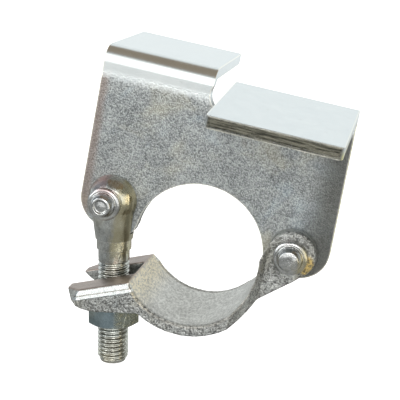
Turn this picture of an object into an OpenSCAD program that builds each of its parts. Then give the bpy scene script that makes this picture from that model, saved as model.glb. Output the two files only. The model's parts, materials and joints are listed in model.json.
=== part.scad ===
// Board retaining coupler: a pressed plate that sits on a scaffold tube, holds boards
// down with two bent flanges, and is closed under the tube by a hinged jaw and a swing bolt.
// Frame: origin on the tube's axis in the middle of the plate's thickness,
// +X across the plate, +Y along the tube, +Z up towards the boards.

/* [Tube] */
// Outside diameter of the tube that the clamp holds
tube_d = 48.3; // [42:0.1:52]
// Play between the tube and the plate's saddle, on the radius
seat_clear = 0.1; // [0.05:0.05:0.3]

/* [Plate] */
// Thickness of the pressed plate
plate_t = 4; // [3:0.5:5]
// Radius of the lobe round each pivot
lobe_r = 11.2; // [10.5:0.1:14]
// Distance from the tube's seat to a pivot's centre
pivot_wall = 12.05; // [11:0.05:15]
// Height of both pivots above the tube's axis
pivot_z = 9.6; // [7:0.1:12]
// How far the jaw's hinge lies nearer to the tube than the middle of its lobe
hinge_in = 1.8; // [0:0.1:3]
// How far the jaw's hinge lies below the bolt's pivot
hinge_drop = 1.6; // [0:0.1:3]

/* [Flanges] */
// Thickness of board held between the tube's top and the rear flange
board_gap = 37.8; // [32:0.1:50]
// How far the front flange's root lies below the rear one's
front_drop = 2; // [0:0.5:4]
// Reach of the rear flange from the plate's middle
rear_reach = 45; // [30:1:60]
// Reach of the front flange from the plate's middle
front_reach = 48; // [30:1:60]
// Angle that the front flange is bent past square
front_overbend = 5; // [0:1:8]
// Inside radius of both bends
bend_r = 2; // [1:0.5:4]
// Inner end of the rear flange, left of the middle
rear_end = 5.8; // [3:0.1:8]
// Inner end of the front flange, right of the middle
front_end = 2; // [1:0.1:6]
// Radius of the relief hole between the flanges
relief_r = 6.6; // [5:0.1:8]

/* [Jaw] */
// Width of the jaw along the tube
jaw_w = 38; // [30:1:50]
// Thickness of the jaw's strap
jaw_t = 4; // [3:0.5:6]
// Play between the tube and the jaw, on the radius
jaw_clear = 0.2; // [0.1:0.05:0.4]
// Thickness of each hinge ear
ear_t = 5; // [3:0.5:7]
// Radius of the ears' round ends
ear_r = 9; // [8:0.5:10]
// Side play between an ear or fork cheek and the plate
side_play = 0.4; // [0.3:0.05:0.8]
// Length of the flat lip beyond the tube's seat
lip_len = 26.5; // [24:0.1:34]
// Slope of the lip's top
lip_slope = 24.2; // [20:0.1:30]
// Width of the open slot that the bolt swings into
slot_w = 14; // [13:0.5:18]

/* [Bolt] */
// Diameter of the bolt's thread
bolt_d = 12; // [10:1:12]
// Length from the pivot to the bolt's end
bolt_len = 65; // [64:1:90]
// Lean of the closed bolt towards the tube
bolt_lean = 9; // [7:0.5:11]
// Radius of the fork's round head
fork_r = 9.7; // [9:0.1:10.5]
// How far the shank's axis runs from the pivot, towards the tube
shank_shift = 1.4; // [0:0.1:2]
// Across flats of the nut
nut_af = 19; // [17:1:21]
// Height of the nut
nut_h = 10; // [8:0.5:12]
// Gap left between the nut and the lip for swinging
nut_gap = 0.35; // [0.3:0.05:0.6]

/* [Rivets] */
// Diameter of both rivets' shanks
rivet_d = 9; // [8:0.5:10]
// Running play between a rivet and its holes, on the radius
rivet_play = 0.05; // [0.02:0.01:0.1]
// Radius of a rivet's brim
brim_r = 6.2; // [5.6:0.1:7]
// Thickness of a rivet's brim
brim_t = 1.6; // [1:0.1:2.5]
// The same on the jaw's hinge, where the brim is a taller collar
collar_t = 3.4; // [1:0.1:4]
// Radius of a rivet's dome
dome_r = 4.6; // [4:0.1:5]

/* [Hidden] */
$fn = 96;
far = 300;                                    // longer than anything in the part
edge = 0.01;                                  // overlap that keeps joined shapes one solid
zinc = [0.72, 0.73, 0.72];
bright_zinc = [0.80, 0.80, 0.78];

tube_r = tube_d / 2;
seat_r = tube_r + seat_clear;
pivot_x = seat_r + pivot_wall;
hinge_x = pivot_x - hinge_in;
hinge_z = pivot_z - hinge_drop;
plate_w = 2 * (pivot_x + lobe_r);
hole_r = rivet_d / 2 + rivet_play;
horn_r = 2.5;                                 // corner where a lobe meets the saddle
horn_x = seat_r + horn_r + 0.4;
horn_low = 0.3;                               // the horn ends this far above the lobe's lowest point
horn_run = 4;                                 // the horn runs this far into the saddle, to be cut by it
bend_out = bend_r + plate_t;
rear_under = tube_r + board_gap;
front_under = rear_under - front_drop;
below_bend = 2;                               // the flat plate ends this far below the lower bend
plate_top = front_under - bend_r - below_bend;
relief_x = 0.2;
relief_z = plate_top + 1.5;
rear_side = plate_w / 2 - 0.7;                // the plate's sides draw in towards the flanges
front_side = plate_w / 2 - 1.6;

jaw_in = tube_r + jaw_clear;
jaw_out = jaw_in + jaw_t;
ear_in = plate_t / 2 + side_play;
ear_out = ear_in + ear_t;
lip_angle = 215.2;                            // where the seat ends and the lip begins
lip_x = jaw_in * cos(lip_angle);
lip_z = jaw_in * sin(lip_angle);
tip_x = lip_x - lip_len * cos(lip_slope);
tip_z = lip_z - lip_len * sin(lip_slope);
tip_t = 3.1;                                  // thickness of the lip near its end
nose_r = 16.3;                                // rounds the underside of the lip's end
nose_in = 10.6;                               // from the tip to the middle of that rounding
nose = [tip_x + nose_in, tip_z + sqrt(nose_r * nose_r - nose_in * nose_in)];
swing_r = norm([tip_x + pivot_x, tip_z - pivot_z]) + tip_t; // underside, about the bolt's pivot
taper_x = jaw_in * 0.78;                      // the jaw narrows to its ears from here on
tine_back = jaw_w * 0.17;                     // how far the lip's corners are cut back in plan
tine_run = 6;
gap_r = lobe_r + 4.6;                         // the gap between the ears clears lobe and horn
slot_end = lip_x - 0.8;                       // closed end of the bolt's slot

rivet_out = 0.1;                              // the brims stand this far off what they hold
dome_h = 3.4;
recess_r = 2.4;                               // the hollow in the ends of the bolt's rivet
recess_z = 2.6;
fork_flat = ear_out + 0.6;                    // half width over the fork's cheeks
fork_slot = lobe_r + 1.6;                     // depth of the slot below the pivot
taper_z = fork_slot + 2.4;                    // the fork's body draws in as far as here
neck_r = bolt_d / 2 + 0.6;
neck_z = taper_z + 4.4;                       // the round neck ends here
head_rise = 0.4;                              // the ball of the head sits this far above the pivot
root_r = bolt_d * 0.41;
end_cut = 1.2;                                // height of the chamfer on the bolt's end
nut_play = 0.05;
nut_top = swing_r + nut_gap;
nut_r = nut_af / sqrt(3);                     // to the nut's corners
nut_cut = 1.4;                                // height of the chamfer under the nut
nut_turn = -10.4;                             // turn of the nut about its axis at rest

module at_bolt() translate([-pivot_x, 0, pivot_z]) rotate([0, -bolt_lean, 0]) children();
module along_y(length) rotate([90, 0, 0]) linear_extrude(length, center = true) children();
module pin(r, y0, y1) translate([0, y1, 0]) rotate([90, 0, 0]) cylinder(h = y1 - y0, r = r);

// Plate: outline in X and Z, with a lobe round each pivot and a horn each side of the saddle
module plate_outline() {
    low = pivot_z - lobe_r;
    horn_z = low + horn_low + horn_r;
    difference() {
        union() {
            polygon([[-plate_w / 2, pivot_z], [plate_w / 2, pivot_z],
                     [front_side, plate_top], [-rear_side, plate_top]]);
            for (s = [-1, 1]) {
                translate([s * pivot_x, pivot_z]) circle(lobe_r);
                translate([s * horn_x, horn_z]) circle(horn_r);
                polygon([[s * pivot_x, low], [s * horn_x, low + horn_low], [s * (horn_x - horn_r), horn_z],
                         [s * (horn_x - horn_r - horn_run), pivot_z + 1], [s * pivot_x, pivot_z + 1]]);
            }
        }
        circle(seat_r);
        translate([-seat_r, -far]) square([2 * seat_r, far]);
        translate([-pivot_x, pivot_z]) circle(hole_r);
        translate([hinge_x, hinge_z]) circle(hole_r);
    }
}

// Section of a flange in Y and Z, bent towards +Y past square, from the plate's edge up
module flange_section(under, reach, overbend) {
    out = plate_t / 2;
    lap = 0.3;                                // joins the flat to its bend
    translate([-out, plate_top]) square([plate_t, under - bend_r - plate_top]);
    translate([out + bend_r, under - bend_r]) {
        difference() {
            circle(bend_out);
            circle(bend_r);
            translate([-far / 2, -far]) square(far);
            rotate(-overbend) translate([0, -far / 2]) square(far);
        }
        rotate(-overbend) translate([-lap, bend_r]) square([reach - bend_r - out + lap, plate_t]);
    }
}

// A flange over a stretch of X, with rounded free corners
module flange(x0, x1, under, reach, overbend) {
    corner = 2;
    intersection() {
        rotate([90, 0, 90]) translate([0, 0, x0])
            linear_extrude(x1 - x0) flange_section(under, reach, overbend);
        linear_extrude(far) {
            translate([x0, -plate_t]) square([x1 - x0, plate_t + reach - corner]);
            translate([x0 + corner, 0]) square([x1 - x0 - 2 * corner, reach]);
            for (x = [x0 + corner, x1 - corner]) translate([x, reach - corner]) circle(corner);
        }
    }
}

module body_plate() color(zinc) difference() {
    union() {
        along_y(plate_t) plate_outline();
        flange(-rear_side, -rear_end, rear_under, rear_reach, 0);
        mirror([0, 1, 0]) flange(front_end, front_side, front_under, front_reach, front_overbend);
    }
    // the relief hole runs up into the roots of both flanges
    translate([relief_x, 0, relief_z]) pin(relief_r, -plate_t, plate_t);
}

// Jaw: sections in X and Z, closed on the tube
module strap_section() intersection() {
    circle(jaw_out);
    polygon([[0, 0], far * [cos(lip_angle), sin(lip_angle)], [0, -far], [far, -far], [far, 0]]);
}

// The web that joins the strap to the ears
module web_section() {
    ear = [hinge_x, hinge_z];
    inner = jaw_in - 2;
    from = [cos(-23), sin(-23)];              // directions from the tube's axis
    to = [cos(-4), sin(-4)];
    upper = [cos(158), sin(158)];             // directions from the ear's centre
    lower = [cos(-56), sin(-56)];
    polygon([inner * from, inner * to, ear + ear_r * upper, ear, ear + ear_r * lower,
             (jaw_out + 0.4) * from]);
}

// The lip: a flat top, and an underside curved about the bolt's pivot for the nut to pass
module lip_section() {
    bolt = [-pivot_x, pivot_z];
    turn = bolt_lean - 84;                    // here the curve ends, and a flat runs into the strap
    root = bolt + swing_r * [cos(turn), sin(turn)];
    flat_run = 20;
    intersection() {
        translate([lip_x, lip_z]) rotate(lip_slope) translate([-far / 2, -far]) square(far);
        union() {
            intersection() {
                translate(bolt) circle(swing_r);
                translate(nose) circle(nose_r);
            }
            polygon([[lip_x, lip_z] * 0.9, root + flat_run * [-sin(turn), cos(turn)], root, nose]);
        }
    }
}

module jaw() color(zinc) difference() {
    intersection() {
        union() {
            along_y(jaw_w) strap_section();
            along_y(jaw_w) web_section();
            along_y(jaw_w) lip_section();
            translate([hinge_x, 0, hinge_z]) pin(ear_r, -ear_out, ear_out);
        }
        // plan: full width at the lip and the seat, narrowing to the ears
        translate([0, 0, -far / 2]) linear_extrude(far) polygon([for (s = [1, -1]) each
            let (p = [[tip_x - 1, jaw_w / 2 - tine_back], [tip_x + tine_run, jaw_w / 2], [taper_x, jaw_w / 2],
                      [hinge_x - ear_r + 1, ear_out], [hinge_x + ear_r + 1, ear_out]])
            [for (i = [0:4]) s > 0 ? p[i] : [p[4 - i][0], -p[4 - i][1]]]]);
    }
    pin(jaw_in, -jaw_w, jaw_w);
    // the gap between the ears, for the plate's lobe and horn
    translate([pivot_x, 0, pivot_z]) pin(gap_r, -ear_in, ear_in);
    translate([hinge_x, 0, hinge_z]) pin(hole_r, -jaw_w, jaw_w);
    // the open slot for the bolt
    translate([slot_end - far, -slot_w / 2, -far / 2]) cube([far, slot_w, far]);
}

// A rivet along Y through a stack of the given half width, with a brimmed dome on each end
module rivet(half, brim, recess) {
    top = half + brim;
    pin(rivet_d / 2, -half, half);
    for (s = [0, 1]) mirror([0, s, 0]) difference() {
        union() {
            pin(brim_r, half, top);
            translate([0, top, 0]) intersection() {
                sphere(dome_r);
                pin(dome_r, -edge, dome_h);
            }
        }
        if (recess > 0) pin(recess, top + recess_z, top + 2 * dome_h);
    }
}

module hinge_rivet() color(bright_zinc)
    translate([hinge_x, 0, hinge_z]) rivet(ear_out + rivet_out, collar_t, 0);
module bolt_rivet() color(bright_zinc)
    translate([-pivot_x, 0, pivot_z]) rivet(fork_flat + rivet_out, brim_t, recess_r);

module fork_bolt() color(bright_zinc) at_bolt() difference() {
    translate([shank_shift, 0, 0]) {
        intersection() {
            union() {
                translate([0, 0, head_rise]) sphere(fork_r);
                translate([0, 0, -taper_z]) cylinder(h = taper_z, r1 = neck_r + 0.5, r2 = fork_r - 0.6);
            }
            translate([-far / 2, -fork_flat, -far / 2]) cube([far, 2 * fork_flat, far]);
        }
        translate([0, 0, -neck_z]) cylinder(h = neck_z - taper_z + 1, r = neck_r);
        translate([0, 0, -neck_z - 0.8]) cylinder(h = 0.8 + edge, r1 = bolt_d / 2, r2 = neck_r);
        translate([0, 0, -bolt_len + end_cut]) cylinder(h = bolt_len - neck_z, r = bolt_d / 2);
        translate([0, 0, -bolt_len]) cylinder(h = end_cut + edge, r1 = root_r, r2 = bolt_d / 2);
    }
    translate([-far / 2, -ear_in, -fork_slot]) cube([far, 2 * ear_in, far]);
    pin(hole_r, -far, far);
}

module hex_nut() color(bright_zinc) at_bolt() translate([shank_shift, 0, -nut_top - nut_h]) difference() {
    intersection() {
        rotate(nut_turn) cylinder(h = nut_h, r = nut_r, $fn = 6);
        union() {
            translate([0, 0, nut_cut]) cylinder(h = nut_h - nut_cut, r = nut_r + 1);
            cylinder(h = nut_cut + edge, r1 = nut_af / 2 - 0.3, r2 = nut_r + 0.2);
        }
    }
    translate([0, 0, -1]) cylinder(h = nut_h + 2, r = bolt_d / 2 + nut_play);
}

body_plate();
hinge_rivet();
bolt_rivet();
jaw();
fork_bolt();
hex_nut();
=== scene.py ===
import json
import math

import bmesh
import bpy
import numpy as np
from mathutils import Matrix, Vector, noise


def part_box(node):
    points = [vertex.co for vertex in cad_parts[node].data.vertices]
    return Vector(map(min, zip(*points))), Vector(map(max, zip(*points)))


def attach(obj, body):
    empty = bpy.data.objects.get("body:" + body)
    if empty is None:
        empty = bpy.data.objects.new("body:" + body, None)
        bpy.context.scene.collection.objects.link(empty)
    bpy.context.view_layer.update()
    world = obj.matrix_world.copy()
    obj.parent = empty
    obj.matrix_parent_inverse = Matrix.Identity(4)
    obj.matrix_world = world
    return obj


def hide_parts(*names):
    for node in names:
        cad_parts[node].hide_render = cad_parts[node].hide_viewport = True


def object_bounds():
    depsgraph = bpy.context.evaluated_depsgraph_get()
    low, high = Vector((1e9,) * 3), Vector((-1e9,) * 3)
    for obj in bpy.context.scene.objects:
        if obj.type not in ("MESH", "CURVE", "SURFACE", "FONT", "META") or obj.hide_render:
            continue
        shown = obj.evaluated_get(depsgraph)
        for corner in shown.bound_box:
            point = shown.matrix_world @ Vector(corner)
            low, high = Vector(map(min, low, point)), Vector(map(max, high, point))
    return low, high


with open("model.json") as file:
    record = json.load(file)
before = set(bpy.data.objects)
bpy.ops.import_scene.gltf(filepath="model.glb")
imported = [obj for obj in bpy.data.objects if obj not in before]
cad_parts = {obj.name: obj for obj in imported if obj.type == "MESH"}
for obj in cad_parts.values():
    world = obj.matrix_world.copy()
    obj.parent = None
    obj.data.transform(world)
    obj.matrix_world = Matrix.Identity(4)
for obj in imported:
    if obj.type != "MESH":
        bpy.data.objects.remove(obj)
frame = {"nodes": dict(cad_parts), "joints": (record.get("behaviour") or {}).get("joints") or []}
cad_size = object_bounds()
mm = 0.001


# ---- The bench: a pale floor under the bolt's end, soft lights, and the camera --------------
# The coupler stands free, lit by a big soft box in front and a narrow one on each side.
# The metal mirrors the room round it: a wide bright window in front, cool grey to the left, warm
# and darker grey to the right, a pale wall behind and a dim ceiling.

scene = bpy.context.scene
scene.view_settings.view_transform = "Standard"


class Wire:
    """A socket that carries a varying number. Sums written with it become Math nodes."""

    def __init__(self, nodes, socket):
        self.nodes, self.socket = nodes, socket

    def sum(self, operation, *values):
        return self.nodes.add("ShaderNodeMath", values, operation=operation)

    def __add__(self, other):
        return self.sum("ADD", self, other)

    def __sub__(self, other):
        return self.sum("SUBTRACT", self, other)

    def __rsub__(self, other):
        return self.sum("SUBTRACT", other, self)

    def __mul__(self, other):
        return self.sum("MULTIPLY", self, other)

    def __truediv__(self, other):
        return self.sum("DIVIDE", self, other)

    def __pow__(self, other):
        return self.sum("POWER", self, other)

    def __abs__(self):
        return self.sum("ABSOLUTE", self)

    __radd__, __rmul__ = __add__, __mul__

    def step(self, low, high):
        """0 at low, 1 at high, and a smooth rise between them."""
        feeds = (self, low, high, 0.0, 1.0)
        return self.nodes.add("ShaderNodeMapRange", feeds, interpolation_type="SMOOTHSTEP")


class Nodes:
    """A node tree, filled by one method."""

    def __init__(self, tree):
        self.tree = tree
        tree.nodes.clear()

    def add(self, kind, feeds=(), out=0, **settings):
        node = self.tree.nodes.new(kind)
        for name, value in settings.items():
            setattr(node, name, value)
        for slot, value in feeds.items() if isinstance(feeds, dict) else enumerate(feeds):
            if isinstance(value, Wire):
                self.tree.links.new(value.socket, node.inputs[slot])
            else:
                node.inputs[slot].default_value = value
        return Wire(self, node.outputs[out]) if len(node.outputs) else node

    def blend(self, amount, first, second, how="MIX"):
        """A colour between two others."""
        feeds = {0: amount, 6: first, 7: second}
        return self.add("ShaderNodeMix", feeds, out=2, data_type="RGBA", blend_type=how)

    def noise(self, at, size, detail=3.0, roughness=0.5, warp=0.0):
        """Cloudy noise from 0 to 1, with blobs about size metres across."""
        feeds = {"Vector": at, "Scale": 1 / size, "Detail": detail, "Roughness": roughness,
                 "Distortion": warp}
        return self.add("ShaderNodeTexNoise", feeds)

    def stretch(self, at, scale):
        return self.add("ShaderNodeMapping", {"Vector": at, "Scale": scale})

    def axes(self, at):
        return [self.add("ShaderNodeSeparateXYZ", [at], out=i) for i in range(3)]


# How bright a mirror would see each part of the room: 1 is white
cool_left, warm_right = (0.36, 0.41, 0.45, 1), (0.20, 0.18, 0.12, 1)
window_light, back_wall = (1.5, 1.52, 1.5, 1), (0.98, 1.03, 1.04, 1)
dim_ceiling, grey_ground = (0.30, 0.25, 0.19, 1), (0.42, 0.43, 0.42, 1)

room = bpy.data.worlds.new("room")
scene.world = room
room.use_nodes = True
air = Nodes(room.node_tree)
side, away, up = air.axes(air.add("ShaderNodeTexCoord", out="Generated"))
sky = air.blend(side.step(-0.7, 0.6), cool_left, warm_right)
window = up.step(-0.25, -0.13) * up.step(0.80, 0.62) * away.step(-0.2, -0.5)
sky = air.blend(window, sky, window_light)
sky = air.blend(away.step(0.1, 0.6), sky, back_wall)
sky = air.blend(up.step(0.70, 0.88), sky, dim_ceiling)
sky = air.blend(up.step(-0.16, -0.27), sky, grey_ground)
air.add("ShaderNodeOutputWorld", [air.add("ShaderNodeBackground", [sky, 1.0])])

floor_z, floor_reach = cad_size[0][2], 30
corners = [(x * floor_reach, y * floor_reach, floor_z)
           for x, y in ((-1, -1), (1, -1), (1, 1), (-1, 1))]
floor_mesh = bpy.data.meshes.new("floor")
floor_mesh.from_pydata(corners, [], [(0, 1, 2, 3)])
floor = bpy.data.objects.new("floor", floor_mesh)
scene.collection.objects.link(floor)
floor.visible_glossy = False
paper = bpy.data.materials.new("pale_paper")
paper.use_nodes = True
sheet = Nodes(paper.node_tree)
white = (0.95, 0.95, 0.95, 1)
matt = sheet.add("ShaderNodeBsdfPrincipled", {
    "Base Color": white, "Roughness": 1.0, "Emission Color": white, "Emission Strength": 0.8})
sheet.add("ShaderNodeOutputMaterial", [matt])
floor_mesh.materials.append(paper)


def soft_box(name, place, aim, width, height, brightness, colour):
    """A square light that faces aim. Its brightness is what a mirror would show of it."""
    lamp = bpy.data.lights.new(name, "AREA")
    lamp.shape, lamp.size, lamp.size_y = "RECTANGLE", width, height
    lamp.energy, lamp.color = brightness * math.pi * width * height, colour
    stand = bpy.data.objects.new(name, lamp)
    scene.collection.objects.link(stand)
    stand.matrix_world = Matrix.Translation(place) @ (
        (Vector(aim) - Vector(place)).to_track_quat("-Z", "Y").to_matrix().to_4x4())


soft_box("front_box", (0.10, -0.90, 0.44), (0, 0, 0.02), 0.46, 0.46, 4.6, (1.0, 0.99, 0.97))
soft_box("left_box", (-0.95, -0.55, 0.30), (0, 0, 0), 0.20, 0.6, 5.0, (0.93, 0.97, 1.0))
soft_box("right_box", (0.9, -0.25, 0.15), (0, 0, 0), 0.10, 0.6, 4.0, (1.0, 0.90, 0.70))

lens = bpy.data.cameras.new("camera")
lens.lens, lens.sensor_width = 90, 36
camera = bpy.data.objects.new("camera", lens)
scene.collection.objects.link(camera)
right = Vector((0.955291, 0.230283, 0.185440))
down = Vector((0.244115, -0.260459, -0.934114))
ahead = Vector((-0.166811, 0.937620, -0.305030))
facing = Matrix((right, -down, -ahead)).transposed().to_4x4()
camera.matrix_world = Matrix.Translation((0.05803, -0.34314, 0.12919)) @ facing
scene.camera = camera


# ---- Plate: 4 mm sheet steel, punched to its outline and bent to the two flanges ------------
# The punch rolled its front edges over. It was then barrel plated with bright zinc, which left
# a fine sparkling grain on the flat face and smoother, paler metal on the flanges.

def copy_of(node, name):
    """A CAD node's mesh, merged, with its flat faces whole."""
    shape = bmesh.new()
    shape.from_mesh(frame["nodes"][node].data)
    bmesh.ops.remove_doubles(shape, verts=shape.verts, dist=0.002 * mm)
    bmesh.ops.dissolve_limit(shape, angle_limit=math.radians(0.6), verts=shape.verts,
                             edges=shape.edges)
    mesh = bpy.data.meshes.new(name)
    shape.to_mesh(mesh)
    shape.free()
    mesh.materials.clear()
    piece = bpy.data.objects.new(name, mesh)
    scene.collection.objects.link(piece)
    return piece


def settle(piece):
    """Turns a piece and its modifiers into one plain smooth mesh."""
    ready = piece.evaluated_get(bpy.context.evaluated_depsgraph_get())
    mesh = bpy.data.meshes.new_from_object(ready)
    piece.modifiers.clear()
    piece.data = mesh
    mesh.name = piece.name
    mesh.shade_smooth()


def ease_edges(piece, width, segments=3):
    """Rounds every hard edge, and keeps the flats flat to the eye."""
    bevel = piece.modifiers.new("bevel", "BEVEL")
    bevel.width, bevel.segments = width, segments
    bevel.limit_method, bevel.angle_limit = "ANGLE", math.radians(28)
    bevel.use_clamp_overlap = True
    settle(piece)
    weigh = piece.modifiers.new("normals", "WEIGHTED_NORMAL")
    weigh.keep_sharp = True
    settle(piece)


def finish_of(name):
    """An empty material and the coordinates on the piece."""
    material = bpy.data.materials.new(name)
    material.use_nodes = True
    nodes = Nodes(material.node_tree)
    return material, nodes, nodes.add("ShaderNodeTexCoord", out="Object")


def worn_edges(nodes, radius):
    """1 on the edges, where handling has burnished the zinc, and 0 on the open faces."""
    eased = nodes.add("ShaderNodeBevel", {"Radius": radius}, samples=4)
    square = nodes.add("ShaderNodeNewGeometry", out="Normal")
    same = nodes.add("ShaderNodeVectorMath", [eased, square], out="Value", operation="DOT_PRODUCT")
    return (1 - same).step(0.01, 0.16)


def zinc(nodes, at, pale, dark, grain):
    """Bright zinc: cloudy mottle, fine sparkling grain, faint colours left by the passivation."""
    speckle = nodes.noise(at, 0.55 * mm, 4.0, 0.7)
    cloud = nodes.noise(at, 7 * mm, 4.0, 0.6, 0.4)
    tint = nodes.noise(at, 16 * mm, 2.0, 0.5, 0.8)
    tone = cloud.step(0.25, 0.75) * (1 - 0.72 * grain) + speckle.step(0.34, 0.66) * (0.78 * grain)
    colour = nodes.blend(tone, dark, pale)
    colour = nodes.blend(tint.step(0.52, 0.75) * 0.16, colour, (0.78, 0.68, 0.40, 1))
    colour = nodes.blend(tint.step(0.46, 0.25) * 0.14, colour, (0.50, 0.66, 0.80, 1))
    return colour, speckle, cloud


def steel(material, nodes, colour, roughness, height, depth):
    bump = nodes.add("ShaderNodeBump", {"Strength": 1.0, "Distance": depth, "Height": height})
    metal = nodes.add("ShaderNodeBsdfPrincipled", {
        "Base Color": colour, "Metallic": 1.0, "Roughness": roughness, "Normal": bump})
    nodes.add("ShaderNodeOutputMaterial", [metal])
    return material


plate = copy_of("body_plate", "plate")
ease_edges(plate, 0.55 * mm)

grain_pale, grain_dark = (0.50, 0.52, 0.515, 1), (0.105, 0.112, 0.116, 1)
flange_pale, flange_dark = (0.86, 0.88, 0.87, 1), (0.66, 0.70, 0.71, 1)
shear_pale, shear_dark = (0.26, 0.25, 0.20, 1), (0.06, 0.06, 0.05, 1)
right_shadow, left_film = (0.10, 0.10, 0.09, 1), (0.26, 0.19, 0.16, 1)
pit_brown, edge_cream = (0.20, 0.19, 0.17, 1), (0.97, 0.93, 0.82, 1)
edge_brown, edge_yellow_highlight = (0.36, 0.22, 0.16, 1), (0.80, 0.76, 0.36, 1)
face_top, bend_start = 57 * mm, 53 * mm       # the grain fades out between these heights

material, nodes, at = finish_of("plate_zinc")
x, y, z = nodes.axes(at)
colour, speckle, cloud = zinc(nodes, at, grain_pale, grain_dark, 1.0)
below_bend = z.step(face_top + 3 * mm, face_top)
bent = (z + (speckle - 0.5) * 4 * mm).step(bend_start, face_top + 0.5 * mm)
shade = x.step(31 * mm, 44 * mm) * z.step(60 * mm, 50 * mm)
colour = nodes.blend(shade * 0.8, colour, right_shadow)
film = (x - cloud * 2 * mm).step(-43.6 * mm, -46.6 * mm) * z.step(64 * mm, 60 * mm)
colour = nodes.blend(film * 0.6, colour, left_film)

# The flanges: rolled smooth by the bending tool
streak = nodes.noise(nodes.stretch(at, (1, 1, 0.2)), 3 * mm, 3.0, 0.6)
rolled = nodes.blend(cloud * 0.5 + streak * 0.3, flange_dark, flange_pale)
colour = nodes.blend(bent, colour, rolled)
pits = nodes.noise(at, 1.1 * mm, 2.0, 0.5).step(0.70, 0.76)
pits = pits * nodes.noise(at, 9 * mm).step(0.45, 0.6)
colour = nodes.blend(pits * 0.45, colour, pit_brown)

# The edges: burnished corners, a brown film on the left side, a painted yellow highlight on the
# right side, and a torn face where the front was cut
edge = worn_edges(nodes, 0.9 * mm)
colour = nodes.blend(edge * 0.8, colour, edge_cream)
facing = nodes.axes(nodes.add("ShaderNodeNewGeometry", out="Normal"))[0]
left_side = facing.step(-0.5, -0.85) * x.step(-38 * mm, -42 * mm) * below_bend
colour = nodes.blend(left_side * 0.9, colour, edge_brown)
# Painted yellow highlight on the plate's right side face
right_side = facing.step(0.5, 0.85) * x.step(38 * mm, 42 * mm) * below_bend
colour = nodes.blend(right_side * 0.8, colour, edge_yellow_highlight)
cut_face = y.step(-47.0 * mm, -47.9 * mm) * bent
torn = nodes.noise(nodes.stretch(at, (0.07, 1, 1)), 0.55 * mm, 4.0, 0.7)
sheared = nodes.blend(torn.step(0.36, 0.66), shear_dark, shear_pale)
colour = nodes.blend(cut_face * (1 - edge * 0.8), colour, sheared)
roughness = 0.27 + speckle * 0.20 + cloud * 0.08 - edge * 0.08 - bent * 0.18 + cut_face * 0.25
height = speckle * (1 - bent * 0.95) + torn * cut_face * 3 + cloud * 0.5 * (1 - bent)
plate.data.materials.append(steel(material, nodes, colour, roughness, height, 0.26 * mm))
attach(plate, "plate")
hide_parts("body_plate")


# ---- Hinge rivet: a round steel pin through the jaw's ears and the plate --------------------
# Its ends are upset over a flat brim and finish in a smooth dome, polished by the tool.

def turned(name, profile, place, around=96):
    """A closed solid turned about Y: profile lists (radius, y) from one end to the other."""
    points, faces = [], []
    for radius, along in profile:
        for i in range(around if radius > 0 else 1):
            angle = 2 * math.pi * i / around
            points.append((place[0] + radius * math.cos(angle), place[1] + along,
                           place[2] + radius * math.sin(angle)))
    starts = np.cumsum([0] + [around if r > 0 else 1 for r, _ in profile])
    for k in range(len(profile) - 1):
        a, b = int(starts[k]), int(starts[k + 1])
        for i in range(around):
            j = (i + 1) % around
            if profile[k][0] == 0:
                faces.append((a, b + j, b + i))
            elif profile[k + 1][0] == 0:
                faces.append((a + i, a + j, b))
            else:
                faces.append((a + i, a + j, b + j, b + i))
    mesh = bpy.data.meshes.new(name)
    mesh.from_pydata(points, [], faces)
    whole = bmesh.new()
    whole.from_mesh(mesh)
    bmesh.ops.recalc_face_normals(whole, faces=whole.faces)
    whole.to_mesh(mesh)
    whole.free()
    mesh.shade_smooth()
    piece = bpy.data.objects.new(name, mesh)
    scene.collection.objects.link(piece)
    return piece


def rounded(points, radius, steps=5):
    """The same line with every inner corner of a profile rounded."""
    made = [points[0]]
    for before, corner, after in zip(points, points[1:], points[2:]):
        before, corner, after = Vector(before), Vector(corner), Vector(after)
        reach = min(radius, (corner - before).length * 0.45, (after - corner).length * 0.45)
        start = corner + (before - corner).normalized() * reach
        end = corner + (after - corner).normalized() * reach
        for i in range(steps + 1):
            t = i / steps
            made.append(tuple(start * (1 - t) ** 2 + corner * 2 * t * (1 - t) + end * t ** 2))
    return made + [points[-1]]


def rivet(name, node, brim_t, recess):
    """A rivet as long as its CAD node, with a brim and a dome on each end."""
    low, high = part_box(node)
    place = (low + high) / 2
    tip, brim = (high.y - low.y) / 2, (high.x - low.x) / 2
    pin_r, dome_r, dome_h = 4.45 * mm, 4.6 * mm, 3.4 * mm
    shoulder = tip - dome_h
    dome = [(dome_r * math.cos(a), shoulder + dome_r * math.sin(a))
            for a in np.radians([4, 14, 24, 34, 42])]
    end = [(pin_r, 0), (pin_r, shoulder - brim_t), (brim, shoulder - brim_t),
           (brim, shoulder - 0.5 * mm), (brim - 0.7 * mm, shoulder), (dome_r + 0.15 * mm, shoulder)]
    end += dome
    if recess:
        end += [(recess + 0.3 * mm, tip - 0.05 * mm), (recess - 0.2 * mm, tip - 0.9 * mm)]
        end += [(0.8 * mm, tip - 0.7 * mm), (0, tip - 0.6 * mm)]
    else:
        end += [(2 * mm, tip - 0.02 * mm), (0, tip)]
    half = rounded(end, 0.35 * mm)
    whole = [(r, -a) for r, a in reversed(half[1:])] + half[1:]
    return turned(name, whole, place)


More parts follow.
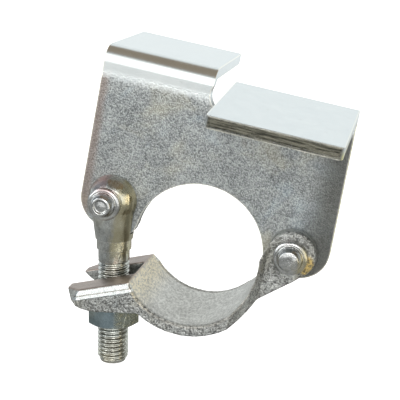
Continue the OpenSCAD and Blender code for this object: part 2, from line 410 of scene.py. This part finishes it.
def fastener_finish(name, pale, dark, warm_reflection, middle):
    """Bright zinc on turned steel: smoother than the plate, with painted gold and pink reflections.
    """
    # Colours of the painted gold and pink reflections, and of the burnished edges
    gold_reflection, pink_reflection = (0.58, 0.50, 0.26, 1), (0.60, 0.33, 0.32, 1)
    burnished = (0.90, 0.89, 0.84, 1)
    material, nodes, at = finish_of(name)
    x, y, z = nodes.axes(at)
    colour, speckle, cloud = zinc(nodes, at, pale, dark, 0.35)
    bands = nodes.noise(nodes.stretch(at, (1.6, 1.6, 0.5)), 5 * mm, 2.0, 0.5, 1.2)
    beside = (x - middle) + (bands - 0.5) * 5 * mm
    above_shank, on_ball = z.step(-14 * mm, -8 * mm), z.step(12 * mm, 18 * mm)
    # Painted gold reflection on the side right of middle, painted pink reflection high up on its
    # left
    gold = beside.step(0.5 * mm, 4 * mm) * (0.25 + above_shank * 0.75) * warm_reflection
    colour = nodes.blend(gold, colour, gold_reflection)
    colour = nodes.blend(beside.step(-1 * mm, -5 * mm) * on_ball * warm_reflection, colour, pink_reflection)
    edge = worn_edges(nodes, 0.5 * mm)
    colour = nodes.blend(edge * 0.5, colour, burnished)
    roughness = 0.08 + speckle * 0.08 + cloud * 0.08 - edge * 0.03
    return steel(material, nodes, colour, roughness, speckle * 0.2 + bands + cloud, 0.22 * mm)


rivet_pale, rivet_dark = (0.72, 0.73, 0.72, 1), (0.24, 0.24, 0.24, 1)
turned_zinc = fastener_finish("rivet_zinc", rivet_pale, rivet_dark, warm_reflection=0.6, middle=36 * mm)
hinge_rivet = rivet("hinge_rivet_piece", "hinge_rivet", brim_t=3.4 * mm, recess=0)
hinge_rivet.data.materials.append(turned_zinc)
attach(hinge_rivet, "plate")
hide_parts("hinge_rivet")


# ---- Bolt rivet: the same pin through the fork and the plate ---------------------------------
# Its heads were upset with a hollow tool, which left a shallow dish in each end. Its brims are
# thinner than the hinge rivet's.

bolt_rivet = rivet("bolt_rivet_piece", "bolt_rivet", brim_t=1.6 * mm, recess=2.4 * mm)
bolt_rivet.data.materials.append(turned_zinc)
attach(bolt_rivet, "plate")
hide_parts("bolt_rivet")


# ---- Jaw: drop forged flap, curved to the tube, with two ears and a forked lip ---------------
# The dies left its sides rough and hammered, and a chamfer with a ridge along the lip's upper
# edges. Tubes have rubbed its seat smooth and pale.

jaw = copy_of("jaw", "jaw_piece")
grid = jaw.modifiers.new("grid", "REMESH")
grid.mode, grid.voxel_size, grid.adaptivity = "VOXEL", 0.42 * mm, 0.0
soften = jaw.modifiers.new("soften", "SMOOTH")
soften.factor, soften.iterations = 0.5, 5
settle(jaw)
hinge = Vector(frame["joints"][2]["pos_m"])
seat_r, seat_half = 24.35 * mm, 19 * mm         # the seat's radius, and half its width
lip_angle, slope = math.radians(215.2), math.radians(24.2)
lip = np.array([seat_r * math.cos(lip_angle), seat_r * math.sin(lip_angle)])
ear_start, ear_half = 28.3 * mm, 7.4 * mm       # where the sides end, and half the ears' width
ear_flat, ear_edge = 7.2 * mm, 1.8 * mm         # the ears' flat faces, and the rounding past them


def rise(values, low, high):
    """Smooth step from 0 at low to 1 at high."""
    t = np.clip((values - low) / (high - low), 0, 1)
    return t * t * (3 - 2 * t)


points = np.zeros(len(jaw.data.vertices) * 3)
jaw.data.vertices.foreach_get("co", points)
points = points.reshape(-1, 3)
tip_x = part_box("jaw")[0].x
side_at = np.interp(points[:, 0], [tip_x - mm, tip_x + 6 * mm, seat_half, ear_start],
                    [12.5 * mm, seat_half, seat_half, ear_half])
out = np.abs(points[:, 1])

# The forging dies' chamfer along the lip's upper edges, and dents all over the sides
flat = (points[:, [0, 2]] - lip) @ np.array([-math.sin(slope), math.cos(slope)])
in_lip = rise(-points[:, 0], 14 * mm, 20 * mm)
chamfer = 2.0 * mm * np.clip(1 + flat / (3.4 * mm), 0, 1)
chamfer = chamfer * in_lip * rise(out, side_at - 5 * mm, side_at)
rough = np.array([noise.noise(Vector(p) * 420) * 0.6 + noise.noise(Vector(p) * 1300) * 0.4
                  for p in points])
dent = 0.32 * mm * (0.6 + rough) * rise(out, side_at - 1.6 * mm, side_at - 0.2 * mm)
points[:, 1] -= np.sign(points[:, 1]) * (chamfer + np.clip(dent, 0, None))

# The ears' rounded rims, left out where the web joins them
from_hinge = points[:, [0, 2]] - np.array([hinge.x, hinge.z])
from_pin = np.linalg.norm(from_hinge, axis=1)
turn = np.degrees(np.arctan2(from_hinge[:, 1], from_hinge[:, 0])) % 360
free = 1 - rise(turn, 140, 160) * (1 - rise(turn, 285, 305))
drop = np.clip(from_pin - ear_flat, 0, 1.7 * mm)
fall = (ear_edge - np.sqrt(ear_edge ** 2 - drop ** 2)) * free * (np.abs(points[:, 1]) > 5 * mm)
points[:, 1] -= np.sign(points[:, 1]) * fall
jaw.data.vertices.foreach_set("co", points.ravel())
jaw.data.update()

forged_pale, forged_dark = (0.68, 0.69, 0.67, 1), (0.13, 0.13, 0.125, 1)
rubbed_pale, rubbed_dark = (0.70, 0.69, 0.65, 1), (0.24, 0.23, 0.21, 1)
brown_pale, brown_dark = (0.42, 0.32, 0.27, 1), (0.16, 0.11, 0.09, 1)
seat_gold, ear_gold_reflection = (0.86, 0.70, 0.38, 1), (0.85, 0.62, 0.20, 1)
chamfer_bright, ridge_line = (0.60, 0.62, 0.61, 1), (0.20, 0.18, 0.15, 1)
belly_bright, edge_bright = (0.88, 0.88, 0.84, 1), (0.88, 0.87, 0.80, 1)
dent_shade = (0.12, 0.12, 0.115, 1)

material, nodes, at = finish_of("jaw_zinc")
x, y, z = nodes.axes(at)
colour, speckle, cloud = zinc(nodes, at, forged_pale, forged_dark, 0.8)

# The seat: rubbed pale, with a gold film towards the lip
inside = ((x * x + z * z) ** 0.5).step(seat_r + 1.05 * mm, seat_r + 0.55 * mm)
fine = nodes.noise(nodes.stretch(at, (1, 0.6, 1)), 0.8 * mm, 4.0, 0.7)
wear = cloud.step(0.2, 0.8) * 0.4 + fine.step(0.32, 0.68) * 0.6
rubbed = nodes.blend(wear, rubbed_dark, rubbed_pale)
near_lip = x.step(-9 * mm, -19 * mm) * fine.step(0.35, 0.6)
rubbed = nodes.blend(near_lip * 0.5, rubbed, seat_gold)
colour = nodes.blend(inside, colour, rubbed)

# The lip: a brown top, a bright chamfer with a ridge line, and a pale belly. over is the height
# above the lip's top face.
over = (z - float(lip[1])) * math.cos(slope) - (x - float(lip[0])) * math.sin(slope)
top = over.step(-0.7 * mm, -0.25 * mm) * x.step(-19 * mm, -20.6 * mm)
colour = nodes.blend(top * 0.8, colour, nodes.blend(cloud, brown_dark, brown_pale))
ridge = abs(over + 2.2 * mm).step(0.35 * mm, 0.1 * mm)
band = over.step(-3.7 * mm, -3.2 * mm) * (1 - top) * x.step(-13 * mm, -17 * mm)
band = band * abs(y).step(16 * mm, 17.2 * mm)
colour = nodes.blend(band * 0.7, colour, chamfer_bright)
colour = nodes.blend(band * ridge * 0.7, colour, ridge_line)
belly = over.step(-9 * mm, -12 * mm) * x.step(-13 * mm, -20 * mm)
colour = nodes.blend(belly * 0.55, colour, belly_bright)
edge = worn_edges(nodes, 0.8 * mm)
colour = nodes.blend(edge * 0.4, colour, edge_bright)

# The ears: a painted gold reflection in a patch below the pin
off_x, off_z = x - (hinge.x + 6.6 * mm), z - (hinge.z - 2.4 * mm)
from_patch = (off_x * off_x * 2 + off_z * off_z * 0.6) ** 0.5 + (cloud - 0.5) * 3 * mm
gold_reflection_patch = from_patch.step(3.6 * mm, 2.4 * mm) * abs(y).step(6 * mm, 6.6 * mm)
colour = nodes.blend(gold_reflection_patch * 0.8, colour, ear_gold_reflection)

# The sides: hammered, with painted shade in the dents
hammered = nodes.noise(at, 1.1 * mm, 5.0, 0.65, 0.3)
to_ear = 18.4 * mm - (x.step(seat_half, ear_start) * 11 * mm)
rim = (abs(y) - to_ear + 1.6 * mm).step(-0.6 * mm, 0.6 * mm) * (1 - band * 0.9)
# Painted shade in the dents of the hammered rim
colour = nodes.blend(rim * hammered.step(0.54, 0.38) * 0.8, colour, dent_shade)
roughness = 0.22 + speckle * 0.16 + cloud * 0.08 + rim * 0.04 - band * 0.10
height = speckle * 0.5 + hammered * (0.3 + rim * 3.2 * (1 - band))
jaw.data.materials.append(steel(material, nodes, colour, roughness, height, 0.22 * mm))
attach(jaw, "jaw")
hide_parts("jaw")


# ---- Swing bolt: forged fork with a ball head, and a rolled M12 thread -----------------------
# The fork straddles the plate. Below the fork the shank is round, then threaded to its end.

pivot = Vector(frame["joints"][0]["pos_m"])
axis = Vector(frame["joints"][1]["axis"])
lean = math.atan2(axis.x, -axis.z)
along_bolt = Matrix.Translation(pivot) @ Matrix.Rotation(-lean, 4, "Y")
pitch = 1.75 * mm
shank_top, shank_end = 18.4 * mm, 64.95 * mm    # along the bolt, from its pivot
head_end = 19.2 * mm                            # the CAD head is kept as far as here
shank_shift = 1.4 * mm                          # the shank runs beside the pivot by this much

thread_tree = bpy.data.node_groups.new("rolled_thread", "GeometryNodeTree")
for label, kind in (("Radius", "Float"), ("Root radius", "Float"), ("Pitch", "Float"),
                    ("Length", "Float"), ("Rings", "Int"), ("Finish", "Material")):
    thread_tree.interface.new_socket(label, in_out="INPUT", socket_type=f"NodeSocket{kind}")
thread_tree.interface.new_socket("Geometry", in_out="OUTPUT", socket_type="NodeSocketGeometry")
made = Nodes(thread_tree)
given = thread_tree.nodes.new("NodeGroupInput")
size = {s.name: Wire(made, s) for s in given.outputs if s.name}
rod = made.add("GeometryNodeMeshCylinder", {"Vertices": 80, "Side Segments": size["Rings"],
                                            "Radius": size["Radius"], "Depth": size["Length"]})
here = made.add("GeometryNodeInputPosition")
tx, ty, tz = made.axes(here)
winding = tz / size["Pitch"] - ty.sum("ARCTAN2", ty, tx) / (2 * math.pi)
phase = winding.sum("FRACT", winding)
crest = (1.32 - abs(phase - 0.5) * 3.2).step(0.0, 1.0)
lead = (size["Length"] / 2 - abs(tz)).step(0.0, 2.2 * mm)
cut_in = (size["Length"] / 2 - tz).step(4.6 * mm, 7.2 * mm)
depth = 1 - (1 - crest * lead) * cut_in
wanted = size["Root radius"] + (size["Radius"] - size["Root radius"]) * depth
ratio = wanted / size["Radius"]
spot = made.add("ShaderNodeCombineXYZ", [tx * ratio, ty * ratio, tz])
shaped = made.add("GeometryNodeSetPosition", {"Geometry": rod, "Position": spot})
real = made.add("GeometryNodeRealizeInstances", [shaped])
coated = made.add("GeometryNodeSetMaterial", {"Geometry": real, "Material": size["Finish"]})
made.add("NodeGroupOutput", [coated])

thread = bpy.data.objects.new("thread", bpy.data.meshes.new("thread"))
scene.collection.objects.link(thread)
cut = thread.modifiers.new("thread", "NODES")
cut.node_group = thread_tree
bolt_pale, bolt_dark = (0.68, 0.70, 0.68, 1), (0.20, 0.20, 0.19, 1)
bolt_zinc = fastener_finish("bolt_zinc", bolt_pale, bolt_dark, warm_reflection=0.55, middle=-34 * mm)
wanted_sizes = {"Radius": 5.95 * mm, "Root radius": 4.95 * mm, "Pitch": pitch,
                "Length": shank_end - shank_top, "Rings": 336, "Finish": bolt_zinc}
for item in thread_tree.interface.items_tree:
    if item.in_out == "INPUT":
        cut[item.identifier] = wanted_sizes[item.name]
settle(thread)
middle = Matrix.Translation((shank_shift, 0, -(shank_top + shank_end) / 2))
thread.data.transform(along_bolt @ middle)

bolt = copy_of("fork_bolt", "bolt_piece")
shape = bmesh.new()
shape.from_mesh(bolt.data)
bmesh.ops.bisect_plane(shape, geom=shape.verts[:] + shape.edges[:] + shape.faces[:],
                       plane_co=pivot + axis * head_end, plane_no=axis, clear_outer=True)
bmesh.ops.holes_fill(shape, edges=[e for e in shape.edges if e.is_boundary])
shape.to_mesh(bolt.data)
shape.free()
ease_edges(bolt, 0.22 * mm)
join = bolt.modifiers.new("join", "BOOLEAN")
join.operation, join.solver, join.object = "UNION", "EXACT", thread
settle(bolt)
bpy.data.objects.remove(thread)
bolt.data.materials.clear()
bolt.data.materials.append(bolt_zinc)
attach(bolt, "bolt")
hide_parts("fork_bolt")


# ---- Nut: M12 hexagon, 19 mm across flats, chamfered at its lower end ------------------------
# Cold formed and zinc plated, with a bluer and darker film than the other pieces. It runs on the
# bolt and pushes the jaw's lip up.

nut = copy_of("hex_nut", "nut_piece")
ease_edges(nut, 0.4 * mm)
nut_pale, nut_dark = (0.36, 0.44, 0.47, 1), (0.12, 0.16, 0.17, 1)
nut.data.materials.append(
    fastener_finish("nut_zinc", nut_pale, nut_dark, warm_reflection=1.2, middle=-26 * mm))
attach(nut, "nut")
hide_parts("hex_nut")
